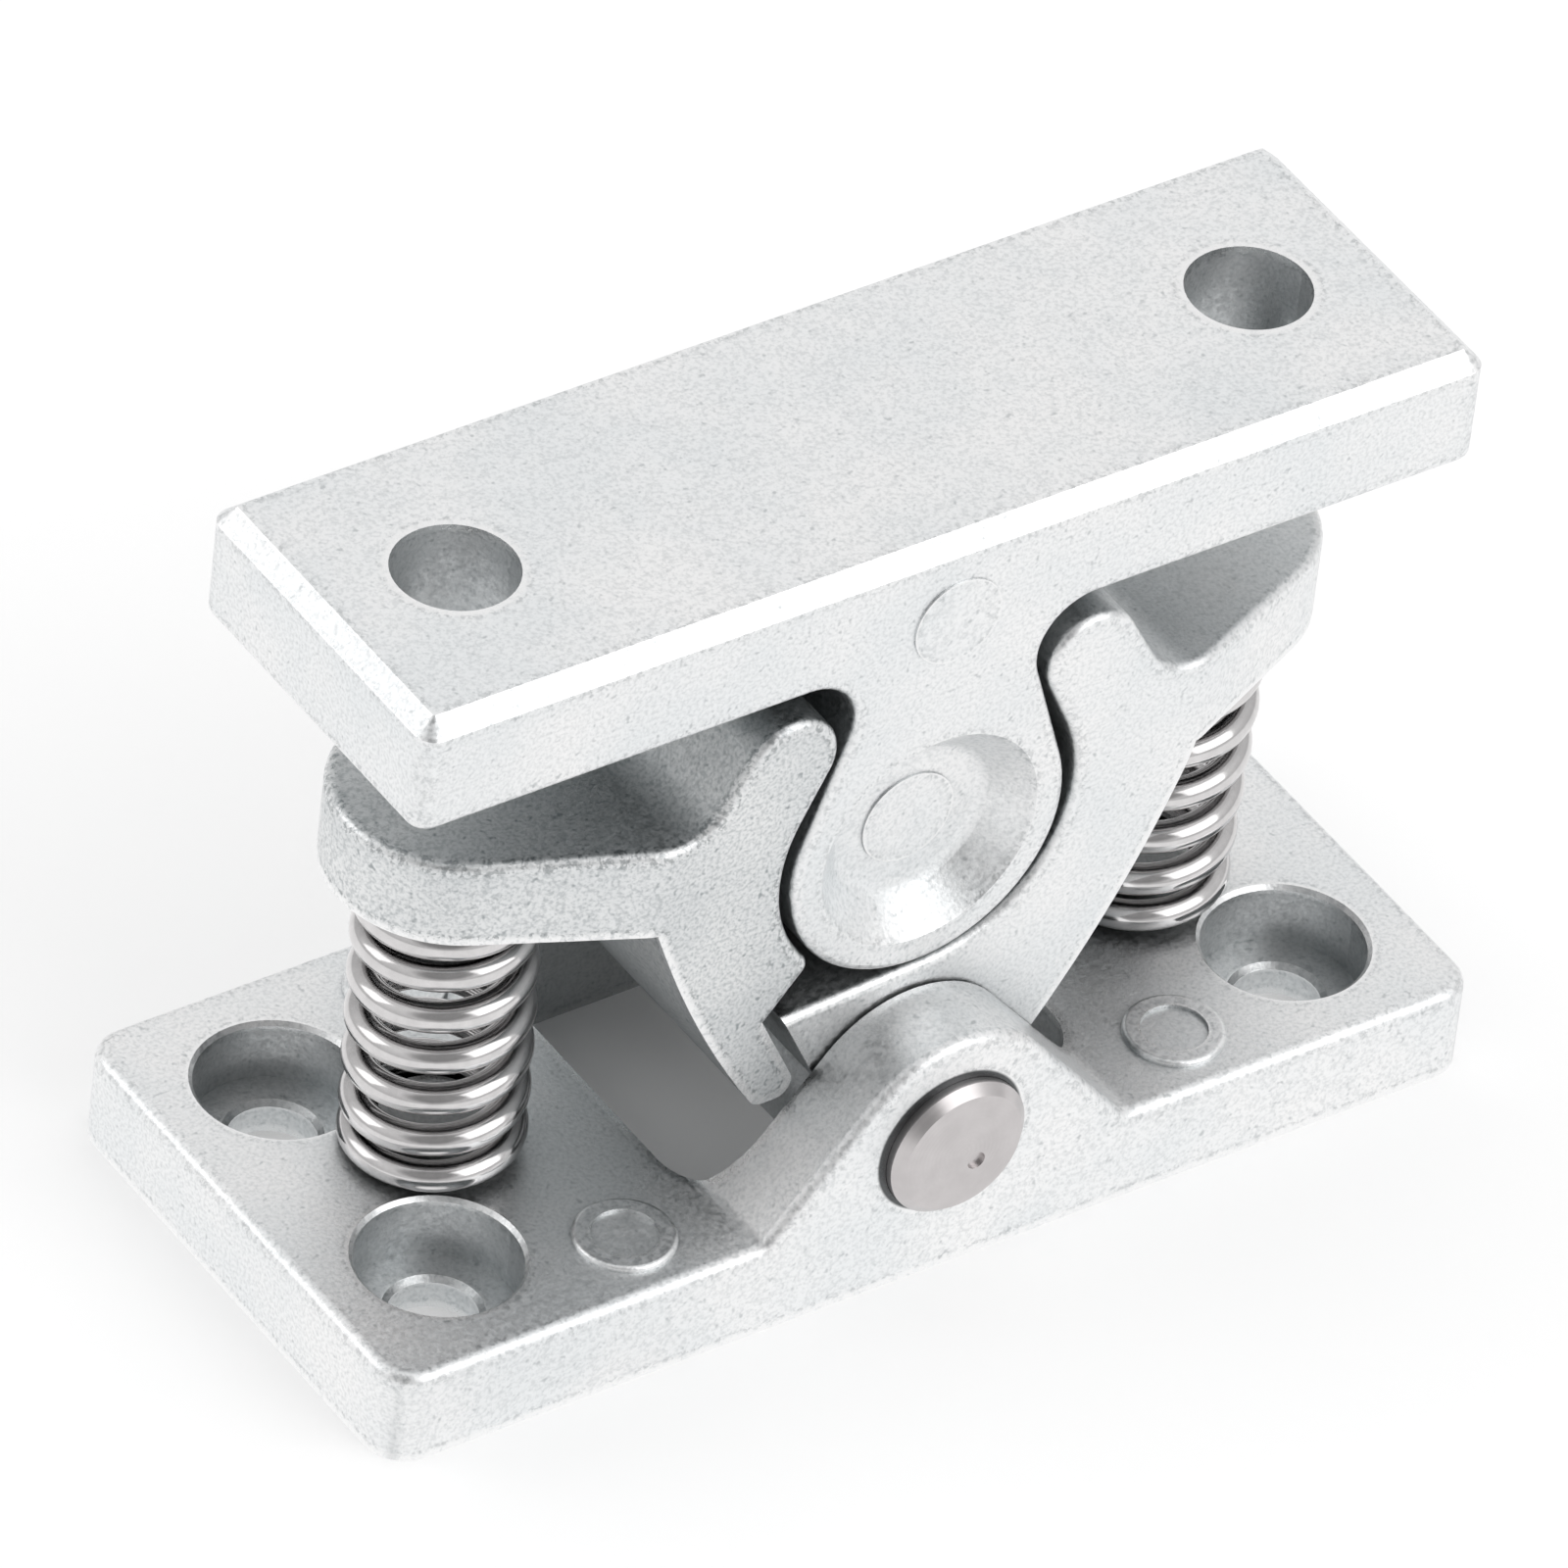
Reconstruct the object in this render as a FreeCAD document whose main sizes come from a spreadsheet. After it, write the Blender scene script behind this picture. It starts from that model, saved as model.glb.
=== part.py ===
import FreeCAD, Part
import Sketcher
import math
import os
from FreeCAD import Placement, Rotation, Vector

# Twin-jaw door retainer for a vehicle body.
# X runs along the base, Y through the pivot pin and Z up from the mounting face.
# The origin is the middle of the face of the base plate that lies on the vehicle.
# All values are millimetres, degrees where the name says angle, or a count of turns.

SIZES = {
    "base_length": 90.0,
    "base_width": 40.4,
    "base_thickness": 7.5,
    "base_corner_radius": 3.0,
    "base_edge_radius": 0.9,
    "bolt_spacing_length": 70.2,
    "bolt_spacing_width": 20.4,
    "bolt_hole_diameter": 6.4,
    "counterbore_diameter": 11.8,
    "counterbore_depth": 4.9,
    "counterbore_bevel": 0.3,
    "bolt_hole_bevel": 0.4,
    "ejector_spacing_length": 45.6,
    "ejector_spacing_width": 29.0,
    "ejector_mark_diameter": 7.4,
    "ejector_mark_height": 0.45,
    "ejector_ring_diameter": 4.8,
    "ejector_ring_depth": 0.25,
    "window_length": 32.8,
    "window_corner_radius": 5.0,
    "ear_foot_width": 30.0,
    "ear_top_radius": 8.9,
    "ear_foot_radius": 1.5,
    "pivot_above_plate": 3.8,
    "pin_diameter": 11.0,
    "pin_stand_out": 1.3,
    "pin_chamfer": 0.7,
    "pin_dimple_diameter": 1.4,
    "pin_dimple_depth": 0.3,
    "pin_dimple_offset": 1.2,
    "ear_bore_clearance": 0.03,
    "hub_bore_clearance": 0.08,
    "jaw_side_clearance": 0.25,
    "jaw_edge_radius": 0.7,
    "hub_radius": 7.9,
    "hub_gap": 0.3,
    "heel_above_pivot": 10.7,
    "heel_reach": 10.6,
    "heel_fall": 0.7,
    "heel_side_angle": 63.0,
    "lap_gap": 1.35,
    "notch_angle": 51.0,
    "tooth_radius": 0.9,
    "tail_above_pivot": 3.0,
    "tail_radius": 1.3,
    "flank_radius": 85.0,
    "flank_spring_gap": 0.5,
    "grip_clearance": 0.9,
    "nose_radius": 3.7,
    "nose_lead": 0.6,
    "nose_neck_gap": 1.1,
    "nose_back_angle": 30.0,
    "paddle_end_radius": 9.1,
    "paddle_shoulder_radius": 4.0,
    "paddle_thickness": 7.3,
    "paddle_fall": 0.5,
    "paddle_above_pivot": 22.2,
    "paddle_root_radius": 4.0,
    "spring_offset": 29.2,
    "spring_lean": 0.9,
    "spring_outer_diameter": 13.2,
    "spring_wire_diameter": 2.3,
    "spring_active_turns": 4.95,
    "spring_closed_turns": 1.0,
    "spring_top_closed_turns": 2.0,
    "spring_closed_gap": 0.09,
    "spring_seat_clearance": 0.1,
    "spigot_height": 2.6,
    "spigot_clearance": 0.45,
    "knob_radius": 11.1,
    "knob_seat_gap": 0.3,
    "neck_width": 15.0,
    "web_fillet_radius": 4.2,
    "nose_plate_gap": 2.4,
    "striker_length": 86.4,
    "striker_width": 27.0,
    "striker_thickness": 9.1,
    "striker_chamfer": 1.3,
    "striker_corner_margin": 0.2,
    "striker_edge_radius": 0.6,
    "striker_hole_spacing": 64.6,
    "striker_hole_diameter": 9.0,
    "dish_radius": 8.8,
    "dish_floor_radius": 6.0,
    "dish_depth": 2.8,
    "dish_floor_fillet": 1.4,
    "knob_mark_diameter": 7.4,
    "web_mark_diameter": 7.0,
    "web_mark_above_plate": 2.1,
    "mark_height": 0.15,
}

SPRING_POINTS_PER_TURN = 14
ROUGH_PLACE = 10.0
ROUGH_SIZE = 4.0
BEVEL_ANGLE = 45.0

doc = FreeCAD.newDocument("DoorRetainer")
sheet = doc.addObject("Spreadsheet::Sheet", "Sizes")
for row, (name, value) in enumerate(SIZES.items(), start=1):
    sheet.set("A%d" % row, name)
    sheet.set("B%d" % row, str(value))
    sheet.setAlias("B%d" % row, name)
doc.recompute()


def size(name):
    """The current value of one named size."""
    return float(sheet.get(name))


def bind(thing, prop, formula):
    """Ties a property to the sheet; sizes in the formula are written as [name]."""
    thing.setExpression(prop, formula.replace("[", "Sizes.").replace("]", ""))


# Small geometry helpers

def unit(angle):
    return Vector(math.cos(math.radians(angle)), math.sin(math.radians(angle)), 0)


def angle_of(vector):
    return math.degrees(math.atan2(vector.y, vector.x))


def point(x, y):
    return Vector(x, y, 0)


def line(start, end):
    return Part.LineSegment(start, end)


def arc(centre, radius, start, end):
    """An arc that runs anticlockwise from one angle to the other."""
    circle = Part.Circle(centre, Vector(0, 0, 1), radius)
    first = math.radians(start % 360)
    last = math.radians(end % 360)
    if last <= first:
        last += 2 * math.pi
    return Part.ArcOfCircle(circle, first, last)


def cross_tangent(near, near_radius, far, far_radius):
    """The angle of the normal of the line that passes between two circles."""
    span = far - near
    lean = math.degrees(math.acos((near_radius + far_radius) / span.Length))
    return angle_of(span) - lean


def tangent_point(outside, centre, radius, side):
    """Where the line from an outside point touches a circle."""
    span = outside - centre
    lean = math.degrees(math.acos(radius / span.Length))
    return centre + unit(angle_of(span) + side * lean) * radius


def meet(start, direction, other_start, other_direction):
    """The crossing of two straight lines."""
    gap = other_start - start
    cross = direction.x * other_direction.y - direction.y * other_direction.x
    along = (gap.x * other_direction.y - gap.y * other_direction.x) / cross
    return start + direction * along


def circle_meet(centre, radius, start, direction):
    """The first crossing of a line with a circle."""
    offset = start - centre
    half = offset.dot(direction)
    root = math.sqrt(half * half - offset.dot(offset) + radius * radius)
    return start + direction * (-half - root)


# Document helpers

def new_body(name):
    made = doc.addObject("PartDesign::Body", name)
    made.Label = name
    return made


def origin_plane(body, role):
    return next(f for f in body.Origin.OriginFeatures if f.Role == role)


def new_sketch(body, name, role, offset=None):
    made = body.newObject("Sketcher::SketchObject", name)
    made.AttachmentSupport = (origin_plane(body, role), [""])
    made.MapMode = "FlatFace"
    if offset is not None:
        bind(made, "AttachmentOffset.Base.z", offset)
    return made


def draw_profile(sketch, pieces):
    """Puts a worked-out outline into a sketch and holds each piece where it is."""
    for piece in pieces:
        index = sketch.addGeometry(piece, False)
        sketch.addConstraint(Sketcher.Constraint("Block", index))


def draw_rectangle(sketch, width, height):
    """A rectangle about the sketch's origin with both sides tied to the sheet."""
    rough = ROUGH_PLACE
    corners = [point(-rough, -rough), point(rough, -rough), point(rough, rough), point(-rough, rough)]
    for index in range(4):
        sketch.addGeometry(line(corners[index], corners[(index + 1) % 4]), False)
    for index in range(4):
        sketch.addConstraint(Sketcher.Constraint("Coincident", index, 2, (index + 1) % 4, 1))
    for index in (0, 2):
        sketch.addConstraint(Sketcher.Constraint("Horizontal", index))
    for index in (1, 3):
        sketch.addConstraint(Sketcher.Constraint("Vertical", index))
    sketch.addConstraint(Sketcher.Constraint("Symmetric", 0, 1, 1, 2, -1, 1))
    wide = sketch.addConstraint(Sketcher.Constraint("DistanceX", 0, 1, 0, 2, 2 * rough))
    high = sketch.addConstraint(Sketcher.Constraint("DistanceY", 1, 1, 1, 2, 2 * rough))
    bind(sketch, "Constraints[%d]" % wide, width)
    bind(sketch, "Constraints[%d]" % high, height)


def draw_circle(sketch, across, up, diameter, side=(1, 1)):
    """A circle whose place and diameter are tied to the sheet."""
    rough = point(ROUGH_PLACE * side[0], ROUGH_PLACE * side[1])
    index = sketch.addGeometry(Part.Circle(rough, Vector(0, 0, 1), ROUGH_SIZE / 2), False)
    for kind, sign, formula in (("DistanceX", side[0], across), ("DistanceY", side[1], up)):
        if formula is None:
            axis = -2 if kind == "DistanceX" else -1
            sketch.addConstraint(Sketcher.Constraint("PointOnObject", index, 3, axis))
            continue
        ends = (-1, 1, index, 3) if sign > 0 else (index, 3, -1, 1)
        held = sketch.addConstraint(Sketcher.Constraint(kind, *ends, ROUGH_PLACE))
        bind(sketch, "Constraints[%d]" % held, formula)
    held = sketch.addConstraint(Sketcher.Constraint("Diameter", index, ROUGH_SIZE))
    bind(sketch, "Constraints[%d]" % held, diameter)


def pad(body, name, sketch, length, symmetric=False, reverse=False):
    made = body.newObject("PartDesign::Pad", name)
    made.Profile = sketch
    bind(made, "Length", length)
    made.SideType = "Symmetric" if symmetric else "One side"
    made.Reversed = reverse
    sketch.Visibility = False
    doc.recompute()
    return made


def pocket(body, name, sketch, depth=None, symmetric=False, reverse=False):
    made = body.newObject("PartDesign::Pocket", name)
    made.Profile = sketch
    made.SideType = "Symmetric" if symmetric else "One side"
    made.Reversed = reverse
    if depth is None:
        made.Type = "ThroughAll"
    else:
        bind(made, "Length", depth)
    doc.recompute()
    return made


def mirror(body, name, feature, role):
    made = body.newObject("PartDesign::Mirrored", name)
    made.Originals = [feature]
    made.MirrorPlane = (origin_plane(body, role), [""])
    body.Tip = made
    doc.recompute()
    return made


def picked(feature, wanted):
    """The names of the edges of a feature that pass a test."""
    edges = feature.Shape.Edges
    return ["Edge%d" % (index + 1) for index, edge in enumerate(edges) if wanted(edge)]


def round_edges(body, name, feature, wanted, radius):
    made = body.newObject("PartDesign::Fillet", name)
    made.Base = (feature, picked(feature, wanted))
    bind(made, "Radius", radius)
    doc.recompute()
    return made


def bevel_edges(body, name, feature, wanted, width):
    made = body.newObject("PartDesign::Chamfer", name)
    made.Base = (feature, picked(feature, wanted))
    bind(made, "Size", width)
    doc.recompute()
    return made


def near(value, target):
    return abs(value - target) < 1e-3


def runs_along(edge, axis, places):
    """True for a straight edge along an axis that passes through one of the places."""
    if not isinstance(edge.Curve, Part.Line):
        return False
    if abs(abs(edge.tangentAt(edge.FirstParameter).dot(axis)) - 1) > 1e-6:
        return False
    middle = edge.CenterOfMass
    others = [v for v, a in zip(middle, axis) if abs(a) < 0.5]
    return any(near(others[0], p[0]) and near(others[1], p[1]) for p in places)


def is_ring(edge, radius, height):
    """True for a whole circle of one radius that lies level at one height."""
    if not isinstance(edge.Curve, Part.Circle) or not near(edge.Curve.Radius, radius):
        return False
    box = edge.BoundBox
    return near(box.ZMin, height) and near(box.ZMax, height)


# Places that several pieces share

HALF_LENGTH = size("base_length") / 2
HALF_WIDTH = size("base_width") / 2
PLATE_TOP = size("base_thickness")
PIVOT = point(0, PLATE_TOP + size("pivot_above_plate"))
JAW_HALF = size("striker_width") / 2
EAR_HALF = JAW_HALF + size("jaw_side_clearance")
GRIP_RADIUS = size("knob_radius") + size("grip_clearance")
GRIP = point(0, PIVOT.y + size("heel_above_pivot") + GRIP_RADIUS)
KNOB = point(0, GRIP.y - GRIP_RADIUS + size("knob_radius") + size("knob_seat_gap"))
NOSE_X = size("neck_width") / 2 + size("nose_neck_gap") + size("nose_radius")
NOSE_SPAN = GRIP_RADIUS + size("nose_radius") + size("nose_lead")
NOSE = point(NOSE_X, GRIP.y + math.sqrt(NOSE_SPAN ** 2 - NOSE_X ** 2))
STRIKER_UNDERSIDE = NOSE.y + size("nose_radius") + size("nose_plate_gap")
PADDLE_UNDERSIDE = PIVOT.y + size("paddle_above_pivot")
FLANK_TOP = size("spring_offset") - size("spring_outer_diameter") / 2 - size("flank_spring_gap")
PADDLE_CENTRE = point(size("spring_offset") + size("spring_lean"), 0)
PADDLE_REACH = PADDLE_CENTRE.x + size("paddle_end_radius")
SPRING_LENGTH = PADDLE_UNDERSIDE - PLATE_TOP - 2 * size("spring_seat_clearance")
PIVOT_HEIGHT = "[base_thickness] + [pivot_above_plate]"
EAR_GAP = "([striker_width] + 2 * [jaw_side_clearance])"
SPIGOT_DIAMETER = "[spring_outer_diameter] - 2 * [spring_wire_diameter] - 2 * [spigot_clearance]"

SIDES = (-1, 1)
CORNERS = [(across, up) for across in SIDES for up in SIDES]


def ear_profile():
    """A round top about the pivot, a straight flank to each foot, and a root inside the plate."""
    foot = point(size("ear_foot_width") / 2, PLATE_TOP)
    root = point(foot.x, PLATE_TOP / 2)
    touch = tangent_point(foot, PIVOT, size("ear_top_radius"), 1)
    left_foot, left_root, left_touch = [point(-p.x, p.y) for p in (foot, root, touch)]
    lean = angle_of(touch - PIVOT)
    return [
        line(root, foot),
        line(foot, touch),
        arc(PIVOT, size("ear_top_radius"), lean, 180 - lean),
        line(left_touch, left_foot),
        line(left_foot, left_root),
        line(left_root, root),
    ]


def make_base():
    body = new_body("base_plate")
    outline = new_sketch(body, "base_outline", "XY_Plane")
    draw_rectangle(outline, "[base_length]", "[base_width]")
    plate = pad(body, "base_slab", outline, "[base_thickness]")
    corners = [(x * HALF_LENGTH, y * HALF_WIDTH) for x, y in CORNERS]
    round_edges(body, "base_corners", plate,
                lambda e: runs_along(e, Vector(0, 0, 1), corners), "[base_corner_radius]")

    ear_sketch = new_sketch(body, "ear_outline", "XZ_Plane", EAR_GAP + " / 2")
    draw_profile(ear_sketch, ear_profile())
    ear = pad(body, "front_ear", ear_sketch, "([base_width] - " + EAR_GAP + ") / 2")
    ears = mirror(body, "back_ear", ear, "XZ_Plane")

    feet = [(x * size("ear_foot_width") / 2, PLATE_TOP) for x in SIDES]
    ears = round_edges(body, "ear_feet", ears,
                       lambda e: runs_along(e, Vector(0, 1, 0), feet), "[ear_foot_radius]")

    def is_outer_rim(edge):
        box = edge.BoundBox
        if box.ZMin < PLATE_TOP - 1e-3:
            return False
        on_side = near(abs(box.YMin), HALF_WIDTH) and near(box.YMin, box.YMax)
        on_end = near(box.ZMin, PLATE_TOP) and near(box.ZMax, PLATE_TOP)
        inside = box.XMax < HALF_LENGTH - size("base_corner_radius") - 1e-3
        inside = inside and box.XMin > -HALF_LENGTH + size("base_corner_radius") + 1e-3
        return on_side or (on_end and not inside)

    round_edges(body, "base_rim", ears, is_outer_rim, "[base_edge_radius]")

    window = new_sketch(body, "window_outline", "XY_Plane", "[base_thickness]")
    draw_rectangle(window, "[window_length]", EAR_GAP)
    opened = pocket(body, "window", window)
    places = [(x * size("window_length") / 2, y * EAR_HALF) for x, y in CORNERS]
    round_edges(body, "window_corners", opened,
                lambda e: runs_along(e, Vector(0, 0, 1), places), "[window_corner_radius]")

    plate_top = "[base_thickness]"
    ledge = "[base_thickness] - [counterbore_depth]"
    for name, level, diameter, depth, bevelled in (
            ("bolt_holes", plate_top, "[bolt_hole_diameter]", None, False),
            ("counterbores", plate_top, "[counterbore_diameter]", "[counterbore_depth]", False),
            ("counterbore_bevels", plate_top, "[counterbore_diameter] + 2 * [counterbore_bevel]",
             "[counterbore_bevel]", True),
            ("bolt_hole_bevels", ledge, "[bolt_hole_diameter] + 2 * [bolt_hole_bevel]",
             "[bolt_hole_bevel]", True)):
        holes = new_sketch(body, name + "_plan", "XY_Plane", level)
        for side in CORNERS:
            draw_circle(holes, "[bolt_spacing_length] / 2", "[bolt_spacing_width] / 2", diameter, side)
        cut = pocket(body, name, holes, depth)
        if bevelled:
            cut.TaperAngle = -BEVEL_ANGLE

    marks = new_sketch(body, "ejector_plan", "XY_Plane", "[base_thickness]")
    for side in CORNERS:
        draw_circle(marks, "[ejector_spacing_length] / 2", "[ejector_spacing_width] / 2",
                    "[ejector_mark_diameter]", side)
    raised = pad(body, "ejector_marks", marks, "[ejector_mark_height]")
    mark_top = PLATE_TOP + size("ejector_mark_height")
    round_edges(body, "ejector_mark_rims", raised,
                lambda e: is_ring(e, size("ejector_mark_diameter") / 2, mark_top),
                "[ejector_mark_height] * 0.8")
    rings = new_sketch(body, "ejector_ring_plan", "XY_Plane",
                       "[base_thickness] + [ejector_mark_height]")
    for side in CORNERS:
        draw_circle(rings, "[ejector_spacing_length] / 2", "[ejector_spacing_width] / 2",
                    "[ejector_ring_diameter]", side)
    pocket(body, "ejector_rings", rings, "[ejector_ring_depth]")

    spigots = new_sketch(body, "spigot_plan", "XY_Plane", "[base_thickness]")
    for side in SIDES:
        draw_circle(spigots, "[spring_offset]", None, SPIGOT_DIAMETER, (side, 1))
    pad(body, "spring_spigots", spigots, "[spigot_height]")

    bore = new_sketch(body, "ear_bore_plan", "XZ_Plane")
    draw_circle(bore, None, PIVOT_HEIGHT, "[pin_diameter] + 2 * [ear_bore_clearance]")
    pocket(body, "ear_bores", bore, symmetric=True)
    return body


def flank_arc():
    """The outer flank: one large circle round the hub that passes the paddle's root."""
    corner = point(FLANK_TOP, PADDLE_UNDERSIDE)
    radius = size("flank_radius")
    reach = radius - size("hub_radius")
    span = corner - PIVOT
    along = (span.Length ** 2 + reach ** 2 - radius ** 2) / (2 * span.Length)
    aside = math.sqrt(reach ** 2 - along ** 2)
    forward = unit(angle_of(span))
    sideways = point(-forward.y, forward.x)
    return PIVOT + forward * along + sideways * aside, radius, corner


def flank_point(centre, radius, height):
    """Where the outer flank stands at a height."""
    return point(centre.x + math.sqrt(radius ** 2 - (height - centre.y) ** 2), height)


def heel_side():
    """The straight side of the heel: its upper corner and where it meets the hub."""
    top = point(-size("heel_reach"), PIVOT.y + size("heel_above_pivot") - size("heel_fall"))
    return top, circle_meet(PIVOT, size("hub_radius"), top, unit(-size("heel_side_angle")))


def notch_points():
    """The notch that clears the other jaw's heel: the tail's inner corner, its root and its tooth."""
    tail_height = PIVOT.y + size("tail_above_pivot")
    heel_top, heel_low = [point(-p.x, p.y) for p in heel_side()]
    along = heel_top - heel_low
    along.normalize()
    clear = heel_low + point(along.y, -along.x) * size("lap_gap")
    tail_inner = meet(clear, along, point(0, tail_height), point(1, 0))
    slope = unit(180 - size("notch_angle"))
    lifted = heel_top + point(slope.y, -slope.x) * size("lap_gap")
    root = meet(clear, along, lifted, slope)
    return tail_inner, root, circle_meet(GRIP, GRIP_RADIUS, root, slope)


def paddle_root():
    """Where the back of the nose starts and the centre of the hollow between it and the paddle."""
    back = unit(size("nose_back_angle"))
    root = size("paddle_root_radius")
    start = NOSE + back * size("nose_radius")
    level = PADDLE_UNDERSIDE + size("paddle_thickness") + root
    return start, meet(start + back * root, point(back.y, -back.x), point(0, level), point(1, 0))


def claw_profile():
    """The full-width claw: grip, nose, paddle, outer flank, tail and notch."""
    normal = cross_tangent(GRIP, GRIP_RADIUS, NOSE, size("nose_radius"))
    back = size("nose_back_angle")
    paddle_top = PADDLE_UNDERSIDE + size("paddle_thickness")
    nose_left = NOSE - unit(normal) * size("nose_radius")
    root = size("paddle_root_radius")
    nose_right, root_centre = paddle_root()
    root_left = root_centre - unit(back) * root
    root_low = point(root_centre.x, paddle_top)
    end_top = point(PADDLE_REACH, paddle_top - size("paddle_fall"))
    end_low = point(PADDLE_REACH, PADDLE_UNDERSIDE)

    centre, radius, corner = flank_arc()
    tail_inner, notch, tooth = notch_points()
    tail_outer = flank_point(centre, radius, tail_inner.y)
    return [
        arc(GRIP, GRIP_RADIUS, angle_of(tooth - GRIP), normal),
        line(GRIP + unit(normal) * GRIP_RADIUS, nose_left),
        arc(NOSE, size("nose_radius"), back, normal + 180),
        line(nose_right, root_left),
        arc(root_centre, root, back + 180, 270),
        line(root_low, end_top),
        line(end_top, end_low),
        line(end_low, corner),
        arc(centre, radius, angle_of(tail_outer - centre), angle_of(corner - centre)),
        line(tail_outer, tail_inner),
        line(tail_inner, notch),
        line(notch, tooth),
    ]


def hub_profile():
    """The half-width hub with its heel; its upper end lies inside the claw, above the tooth."""
    centre, radius, corner = flank_arc()
    heel_top, heel_low = heel_side()
    touch = PIVOT + (PIVOT - centre).normalize() * size("hub_radius")
    inner_angle = angle_of(notch_points()[2] - GRIP) / 2
    inner = GRIP + unit(inner_angle) * GRIP_RADIUS
    outer = flank_point(centre, radius, inner.y)
    grip_low = point(0, GRIP.y - GRIP_RADIUS)
    return [
        arc(GRIP, GRIP_RADIUS, 270, inner_angle),
        line(inner, outer),
        arc(centre, radius, angle_of(touch - centre), angle_of(outer - centre)),
        arc(PIVOT, size("hub_radius"), angle_of(heel_low - PIVOT), angle_of(touch - PIVOT)),
        line(heel_low, heel_top),
        line(heel_top, grip_low),
    ]


def paddle_shoulder():
    """Where the paddle starts to taper: outside the flank and the hollow behind the nose."""
    return point(max(FLANK_TOP, paddle_root()[1].x), JAW_HALF)


def paddle_trim():
    """The waste beside the taper and round the end of the paddle, seen from above."""
    radius = size("paddle_end_radius")
    shoulder = paddle_shoulder()
    touch = tangent_point(shoulder, PADDLE_CENTRE, radius, -1)
    lean = angle_of(touch - PADDLE_CENTRE)
    far = 2 * PADDLE_REACH
    wide = 2 * JAW_HALF
    points = [touch, shoulder, point(shoulder.x, wide), point(far, wide), point(far, -wide),
              point(shoulder.x, -wide), point(shoulder.x, -JAW_HALF), point(touch.x, -touch.y)]
    waste = [line(a, b) for a, b in zip(points, points[1:])]
    return waste + [arc(PADDLE_CENTRE, radius, -lean, lean)]


def make_jaw(name, turned):
    """One of two equal castings; the second is turned half round about Z."""
    body = new_body(name)
    claw_sketch = new_sketch(body, name + "_claw_outline", "XZ_Plane")
    draw_profile(claw_sketch, claw_profile())
    claw = pad(body, name + "_claw", claw_sketch, "[striker_width]", symmetric=True)
    tail_inner, notch, tooth = notch_points()
    centre, radius, corner = flank_arc()
    tail_outer = flank_point(centre, radius, tail_inner.y)
    along = Vector(0, 1, 0)
    tail = round_edges(body, name + "_tail_round", claw,
                       lambda e: runs_along(e, along, [tail_inner, tail_outer]), "[tail_radius]")
    round_edges(body, name + "_tooth_round", tail,
                lambda e: runs_along(e, along, [tooth]), "[tooth_radius]")

    trim_sketch = new_sketch(body, name + "_end_trim", "XY_Plane")
    draw_profile(trim_sketch, paddle_trim())
    pocket(body, name + "_round_end", trim_sketch, reverse=True)

    hub_sketch = new_sketch(body, name + "_hub_outline", "XZ_Plane", "[hub_gap] / 2")
    draw_profile(hub_sketch, hub_profile())
    pad(body, name + "_hub", hub_sketch, "([striker_width] - [hub_gap]) / 2")

    spigot = new_sketch(body, name + "_spigot_plan", "XY_Plane",
                        PIVOT_HEIGHT + " + [paddle_above_pivot]")
    draw_circle(spigot, "[spring_offset] + [spring_lean]", None, SPIGOT_DIAMETER)
    pad(body, name + "_spigot", spigot, "[spigot_height]", reverse=True)

    bore = new_sketch(body, name + "_bore_plan", "XZ_Plane")
    draw_circle(bore, None, PIVOT_HEIGHT, "[pin_diameter] + 2 * [hub_bore_clearance]")
    bored = pocket(body, name + "_bore", bore, symmetric=True)

    shoulder = paddle_shoulder().x
    corners = [(shoulder, side * JAW_HALF) for side in SIDES]
    shouldered = round_edges(body, name + "_shoulders", bored,
                             lambda e: runs_along(e, Vector(0, 0, 1), corners),
                             "[paddle_shoulder_radius]")
    paddle_middle = PADDLE_UNDERSIDE + size("paddle_thickness") / 2
    root_end = paddle_root()[1].x

    def is_rim(edge):
        box = edge.BoundBox
        on_face = near(box.YMin, box.YMax) and near(abs(box.YMin), JAW_HALF)
        above_notch = box.ZMin > notch.y - 1e-3
        if box.XMax > shoulder - size("paddle_shoulder_radius") / 2 and box.ZMin < paddle_middle:
            return False
        level = box.ZMin > paddle_middle and box.YMax - box.YMin < JAW_HALF
        return (on_face and above_notch) or (box.XMin > root_end - 1e-3 and level)

    round_edges(body, name + "_rim", shouldered, is_rim, "[jaw_edge_radius]")
    if turned:
        body.Placement = Placement(Vector(0, 0, 0), Rotation(Vector(0, 0, 1), 180))
    return body


def make_pin():
    body = new_body("pivot_pin")
    section = new_sketch(body, "pin_section", "XZ_Plane")
    draw_circle(section, None, PIVOT_HEIGHT, "[pin_diameter]")
    shank = pad(body, "pin_shank", section, "[base_width] + 2 * [pin_stand_out]", symmetric=True)
    bevel_edges(body, "pin_ends", shank, lambda e: isinstance(e.Curve, Part.Circle), "[pin_chamfer]")
    dimple = new_sketch(body, "pin_dimple_plan", "XZ_Plane", "[base_width] / 2 + [pin_stand_out]")
    draw_circle(dimple, "[pin_dimple_offset]", PIVOT_HEIGHT + " - [pin_dimple_offset]",
                "[pin_dimple_diameter]")
    pocket(body, "pin_dimple", dimple, "[pin_dimple_depth]")
    return body


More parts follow.
